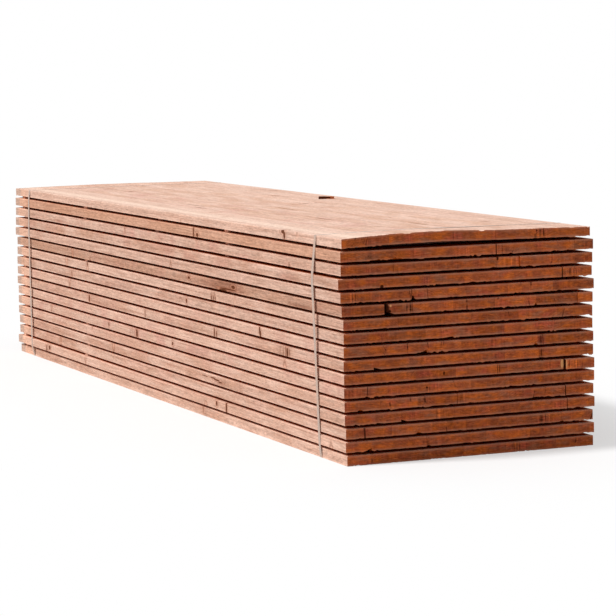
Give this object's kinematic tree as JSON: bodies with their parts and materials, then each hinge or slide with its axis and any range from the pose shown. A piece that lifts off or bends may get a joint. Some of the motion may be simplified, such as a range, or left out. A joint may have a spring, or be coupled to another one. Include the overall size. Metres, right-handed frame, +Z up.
{
  "type": "stack of lumber",
  "caption": "Strapped pack of sawn softwood boards of random width, stacked in courses with thin stickers between them for air drying.",
  "frame": {"origin": "middle of the pack's underside, on the level floor it rests on", "axes": "+X along the boards, towards the end whose top boards have sprung up most; +Y from the front face to the back face, where the strap seals are; +Z up"},
  "size_m": [4.209, 1.0622, 0.8488],
  "materials": {
    "sawn_wood": "rough sawn, dry, pale reddish softwood; orange-brown on the end grain",
    "strap_steel": "dull galvanised"
  },
  "bodies": {
    "root": {"board_layer_01": "sawn_wood", "board_layer_02": "sawn_wood", "board_layer_03": "sawn_wood", "board_layer_04": "sawn_wood", "board_layer_05": "sawn_wood", "board_layer_06": "sawn_wood", "board_layer_07": "sawn_wood", "board_layer_08": "sawn_wood", "board_layer_09": "sawn_wood", "board_layer_10": "sawn_wood", "board_layer_11": "sawn_wood", "board_layer_12": "sawn_wood", "board_layer_13": "sawn_wood", "board_layer_14": "sawn_wood", "board_layer_15": "sawn_wood", "board_layer_16": "sawn_wood", "board_layer_17": "sawn_wood", "strap_left": "strap_steel", "strap_right": "strap_steel", "strap_seal_left": "strap_steel", "strap_seal_right": "strap_steel"}
  },
  "joints": []
}
